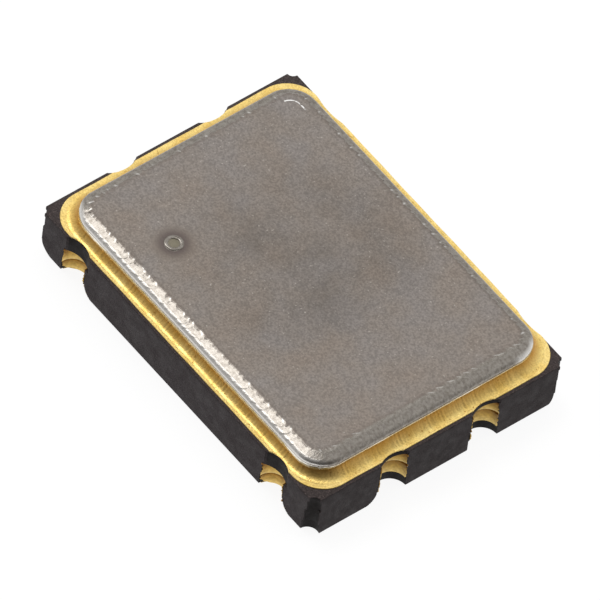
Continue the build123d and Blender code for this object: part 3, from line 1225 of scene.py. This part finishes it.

# %% [markdown]
# ## The lid, before the weld
#
# The lid starts as a plate whose rim is a fine grid: many rows from the wall in to the flat
# top, and a point every seventieth of a millimetre round it. Each point remembers how far
# round the path and how far in from the edge it lies. The spot mark is a small raised ring.
# The last row lies well inwards of the weld, because the flat top shares its points, and a
# mark on it would bleed over the whole lid. At the far corner a painted glint runs along an
# arc of the rim.


# %% Profile of the lid's rim
def lid_profile():
    """Outward distance, height and share of the weld's drop for each row of the rim.

    The molten edge sagged into a skirt over the ring, a quarter of an ellipse.
    """
    hair = 0.004
    skirt_out = ring_high[0] - lid_high[0] + hair
    skirt_in = 0.020
    skirt_low = lid_low[2] + hair
    brim = lid_top - weld_drop
    row_step = 0.010
    rim_depth = 0.36
    profile = [(-0.01, lid_low[2], 0), (skirt_out - 0.006, lid_low[2], 0)]
    for number, turn in enumerate(np.linspace(math.pi / 2, 0, 9)):
        out = (skirt_out + skirt_in) * math.sin(turn) - skirt_in
        height = skirt_low + (brim - skirt_low) * math.cos(turn)
        share = min(number, 1)
        profile.append((out, height + weld_drop * share, share))
    for out in np.arange(-skirt_in - row_step, -rim_depth, -row_step):
        profile.append((out, lid_top, 1))
    return profile


# %% The spot mark
def spot_mark_mesh(count=40):
    """A raised ring on a disc that is sunk a hair into the lid."""
    sunk = 0.004
    flare = 1.3
    crest = (spot_mark_radius + spot_mark_bore) / 2
    half = (spot_mark_radius - spot_mark_bore) / 2
    mark_height = lid_high[2] - lid_top
    angle = np.arange(count) * 2 * math.pi / count
    circle = np.stack([np.cos(angle), np.sin(angle)], 1)
    uneven = 1 + 0.05 * np.sin(2 * angle + 0.6)[:, None] + 0.03 * np.sin(5 * angle)[:, None]

    def ring(radius, rise):
        return at_height(circle * radius * uneven + spot_mark_place, lid_top + rise)

    loops = [ring(spot_mark_radius + half, -sunk)]
    for turn in np.linspace(-math.pi / 2, math.pi / 2, 9):
        rise = mark_height * (math.cos(turn) - 0.02)
        loops.append(ring(crest - half * flare * math.sin(turn), rise))
    loops.append(ring(spot_mark_bore / 2, 0.001))
    return stack(loops)


# %% Make the plain lid
lid_count = 1400
wider_right = 0.06
narrower_far = 0.05
narrower_left = 0.03
glint_outer = 0.232
glint_inner = 0.252
glint_reach = 0.62


def make_lid():
    half = (lid_high - lid_low)[:2] / 2
    points, normals, distances = rounded_path(*half, lid_corner, lid_count)
    profile = lid_profile()
    rim = stack([at_height(moved_out(points, normals, out), up) for out, up, _ in profile])
    piece = mesh_object("welded_lid", *joined([rim, spot_mark_mesh()]))
    inwards = np.array([-out for out, _, _ in profile])
    shares = [share for _, _, share in profile]
    wider = wider_right * np.maximum(normals[:, 0], 0)
    wider -= narrower_far * np.maximum(normals[:, 1], 0)
    wider -= narrower_left * np.maximum(-normals[:, 0], 0)
    # Where the painted glint runs at the far corner.
    at_far_corner = (normals[:, 1] > 0.02) & (points[:, 0] < -lid_high[0] + glint_reach)
    in_glint_band = (glint_outer < inwards) & (inwards < glint_inner)
    keep_attribute(piece, "along", np.tile(distances, len(profile)))
    keep_attribute(piece, "across", np.repeat(inwards, lid_count), rest=1.0)
    keep_attribute(piece, "share", np.repeat(shares, lid_count))
    keep_attribute(piece, "far_corner_glint", np.outer(in_glint_band, at_far_corner).ravel())
    keep_attribute(piece, "wider", np.tile(wider, len(profile)))
    smooth_shading(piece, 50)
    return piece


lid = make_lid()

# %% [markdown]
# ## The seam weld
#
# Two roller electrodes ran along the lid and melted it in pulses. Each pulse pressed the edge
# down and left a crescent, and the next one overlapped it like a fish scale. The tree works
# out, for each point, which pulse it belongs to and how far it lies within it. From that come
# the step at the end of the scale, the ragged inner edge of the track, and its drop. A random
# number for each pulse makes some scales deep and others faint, and gives some a painted glint
# on the crest.
# The rollers did not run dead centre, so the track is wider on some sides than on others.
#
# The tree also stores what the lid's finish reads: where the metal melted, the line of painted
# shade beside it, how near a point lies to the trough of its scale, for painted shade there, and
# the crests that get a painted glint.


# %% Node tree for the weld
def weld_tree(values):
    tree, given = new_tree("weld_ripples", values)
    along, across, share, wider = (
        stored(tree, name) for name in ("along", "across", "share", "wider")
    )
    width, seed = given["Track width"], given["Seed"]

    wander = line_noise(along, 0.4, seed) * 1.6
    middle = across / width - 0.5
    phase = along / given["Pitch"] + wander + middle * middle * 1.6
    within = maths("FRACT", phase)
    pulse = {"W": maths("FLOOR", phase) + seed}
    chance = added(tree, "ShaderNodeTexWhiteNoise", pulse, "Value", noise_dimensions="1D")

    tooth = (within - 0.5) * (chance + 0.3)
    nibble = line_noise(along, 0.05, seed + 5.0)
    edge = width + wider + (tooth + nibble) * given["Jagged edge"]
    inside = mapped(across, edge - given["Riser"], edge, 1.0, 0.0, smooth=True)
    slope = mapped(across, 0.0, given["Slope width"], given["Drop"], given["Drop"] * 0.1)

    fall = mapped(within, 0.78, 1.0, 1.0, 0.0, smooth=True)
    ripple = within * fall * (chance + 0.25) * given["Ripple height"]
    crumb = {"Scale": 1 / (0.045 * MM), "Detail": 2.0}
    crumble = (added(tree, "ShaderNodeTexNoise", crumb) - 0.5) * given["Crumble height"]
    lift = (ripple + crumble - slope) * inside * share
    offset = added(tree, "ShaderNodeCombineXYZ", {"Z": lift * MM})
    geometry = shifted(given["Geometry"], offset)

    crest = mapped(within, 0.70, 0.80, 0, 1) * mapped(within, 0.84, 0.92, 1, 0)
    lucky = mapped(chance, 0.40, 0.50, 0, 1)
    near_edge = mapped(edge - across, 0.03, 0.08, 1, 0)
    # Masks for the lid's finish: melted metal, painted shade beside the track and in each trough,
    # and painted glints on crests.
    masks = {
        "weld": inside * share,
        "track_edge_shade": mapped(across, edge, edge + 0.045, 1.0, 0.0, smooth=True),
        "trough_shade": (1.0 - within) * inside,
        "glint": crest * lucky * near_edge * inside,
    }
    kind = "GeometryNodeStoreNamedAttribute"
    for name, value in masks.items():
        inputs = {"Geometry": geometry, "Name": name, "Value": value}
        geometry = added(tree, kind, inputs, data_type="FLOAT", domain="POINT")
    return finish_tree(geometry, given["Material"])


weld_inputs = {
    "Pitch": 0.17,
    "Track width": weld_track,
    "Slope width": weld_slope,
    "Drop": weld_drop,
    "Riser": 0.05,
    "Ripple height": 0.0045,
    "Crumble height": 0.003,
    "Jagged edge": 0.05,
    "Seed": 4.0,
    "Material": lid_metal,
}
run_tree(lid, weld_tree(weld_inputs), weld_inputs)
print("lid stands up to", round(max(v.co.z for v in lid.data.vertices) / MM, 4), "mm")

# %% [markdown]
# ## Pieces inside
#
# The chip, its wires, the quartz and their mounts stay as the frame has them. They are sealed
# in, but each has its finish, because the part can be opened in another scene. A finish goes
# to every node whose name starts as the table says.


# %% Finishes for the pieces inside
def simple_finish(name, dark, light, roughness, metallic, size, depth):
    material, tree, shader = new_finish(name, roughness, metallic)
    colour = ramp(grain(tree, size * 4, 3), (0.3, dark), (0.7, light))
    coat(shader, colour, grain(tree, size, 2), depth)
    return material


recipes = {
    "drawn_gold_wire": ((0.85, 0.60, 0.20), (0.95, 0.72, 0.30), 0.22, 1.0, 0.01, 0.0004),
    "bond_pad_aluminium": ((0.70, 0.70, 0.72), (0.85, 0.85, 0.86), 0.3, 1.0, 0.01, 0.0004),
    "lapped_silicon": ((0.10, 0.11, 0.15), (0.20, 0.20, 0.26), 0.18, 0.6, 0.05, 0.0003),
    "silver_glue": ((0.45, 0.44, 0.42), (0.62, 0.61, 0.58), 0.5, 0.7, 0.02, 0.003),
    "electrode_film": ((0.66, 0.65, 0.62), (0.80, 0.79, 0.75), 0.25, 1.0, 0.05, 0.0003),
    "lapped_quartz": ((0.80, 0.82, 0.83), (0.90, 0.92, 0.92), 0.3, 0.0, 0.02, 0.0006),
}
inner_gold = gold_finish("gold_inside", (0.90, 0.68, 0.28), (0.78, 0.55, 0.20), 0.35, 0.03, 0.002)
finishes = {name: simple_finish(name, *recipe) for name, recipe in recipes.items()}
finishes["gold_inside"] = inner_gold
quartz_shader = finishes["lapped_quartz"].node_tree.nodes["Principled BSDF"]
quartz_shader.inputs["Transmission Weight"].default_value = 0.7

# %% Which finish goes where
finish_of = {
    "oscillator_chip": "lapped_silicon",
    "chip_attach_pad": "gold_inside",
    "chip_attach_layer": "silver_glue",
    "chip_bond_pads": "bond_pad_aluminium",
    "bond_fingers": "gold_inside",
    "bond_wire": "drawn_gold_wire",
    "crystal_mount_pad": "gold_inside",
    "adhesive_dot": "silver_glue",
    "quartz_blank": "lapped_quartz",
    "bottom_electrode": "electrode_film",
    "top_electrode": "electrode_film",
}
finished = 0
for name, node in frame["nodes"].items():
    for start, finish in finish_of.items():
        if name.startswith(start):
            node.data.materials.clear()
            node.data.materials.append(finishes[finish])
            finished += 1
print("pieces inside with a finish:", finished)

# %% Finishes for the other outer pieces
for piece, finish in (
    (ceramic_body, ceramic_finish),
    (gold_land, land_gold),
    (seal_ring, ring_metal),
    *((piece, notch_gold) for piece in terminals),
    *((piece, contact_gold) for piece in contacts),
):
    piece.data.materials.append(finish)
print("finishes in all:", len(bpy.data.materials))

# %% [markdown]
# ## Floor and light
#
# The floor is a plain pale sheet, lit well enough to come out white. Metal shows its shape only
# by what it mirrors, so the light was worked out backwards from the photograph: the tone of
# the gold at each slope tells how bright the studio is in one direction. It is a white tent,
# bright all round and dim only towards the camera, which the fillet at the near corner
# mirrors. One small strong box stands where the weld on the near long side mirrors it.

# %% Floor
floor_half = 1.5
floor_drop = 0.003
square = np.array([(-1, -1, 0), (1, -1, 0), (1, 1, 0), (-1, 1, 0)])
floor = mesh_object("pale_floor", square * floor_half / MM - (0, 0, floor_drop), [(0, 1, 2, 3)])
floor_finish, tree, shader = new_finish("pale_floor", 0.9)
paper = ramp(grain(tree, 8.0, 3), (0.3, (0.14, 0.14, 0.14)), (0.7, (0.16, 0.16, 0.16)))
feed(shader.inputs["Base Color"], paper)
feed(shader.inputs["Emission Color"], (1, 1, 1, 1))
feed(shader.inputs["Emission Strength"], 0.91)
floor.data.materials.append(floor_finish)


# %% Soft box
def soft_box(name, towards, distance, width, height, radiance):
    """A rectangular lamp on a line from the part, facing it."""
    direction = Vector(towards).normalized()
    light = bpy.data.lights.new(name, "AREA")
    light.shape = "RECTANGLE"
    light.size = width
    light.size_y = height
    light.energy = radiance * width * height * math.pi
    lamp = bpy.data.objects.new(name, light)
    lamp.matrix_world = Matrix.Translation(direction * distance) @ (
        direction.to_track_quat("Z", "Y").to_matrix().to_4x4()
    )
    bpy.context.scene.collection.objects.link(lamp)
    print(name, "of", round(light.energy, 3), "W")


soft_box("key_light", (-0.45, 0.0, 0.893), 0.8, 0.30, 0.30, 3.6)

# %% Tent
tent_direction = Vector((0.55, -0.65, 0.52)).normalized()
tent_tones = (
    (0.64, 0.82), (0.67, 0.68), (0.71, 0.58), (0.76, 0.48), (0.86, 0.28), (0.94, 0.15), (1.00, 0.08)
)
world = bpy.data.worlds.new("studio")
bpy.context.scene.world = world
world.use_nodes = True
tree = world.node_tree
sky = tree.nodes["Background"]
view = added(tree, "ShaderNodeTexCoord", [], "Generated")
kind = "ShaderNodeVectorMath"
facing = added(tree, kind, (view, tent_direction), "Value", operation="DOT_PRODUCT")
stops = [(place, (tone, tone - 0.005, tone - 0.010)) for place, tone in tent_tones]
room = ramp(mapped(facing, -1, 1, 0, 1), (0.59, (0.88, 0.88, 0.88)), *stops)
feed(sky.inputs["Color"], room)
feed(sky.inputs["Strength"], 1.0)
bpy.context.scene.view_settings.view_transform = "Standard"
print("tones in the tent:", 1 + len(tent_tones))

# %% [markdown]
# ## Hand the pieces to the frame
#
# Each piece rides on the part's one body and stands for the solid that it was made over.

# %% Ride and replace
handed = [
    (ceramic_body, "ceramic_base", "black_ceramic"),
    (gold_land, "seal_land", "gold_on_seal"),
    (braze, "seal_ring_braze", "gold_on_seal"),
    (seal_ring, "seal_ring", "ring_metal"),
    (lid, "lid", "lid_metal"),
]
handed += [(piece, f"terminal_{n}", "gold_plating") for n, piece in enumerate(terminals, 1)]
handed += [(piece, f"side_contact_{n}", "gold_plating") for n, piece in enumerate(contacts, 1)]
for piece, node, slot in handed:
    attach(piece, "root")
    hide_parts(node)
print("pieces handed over:", len(handed))
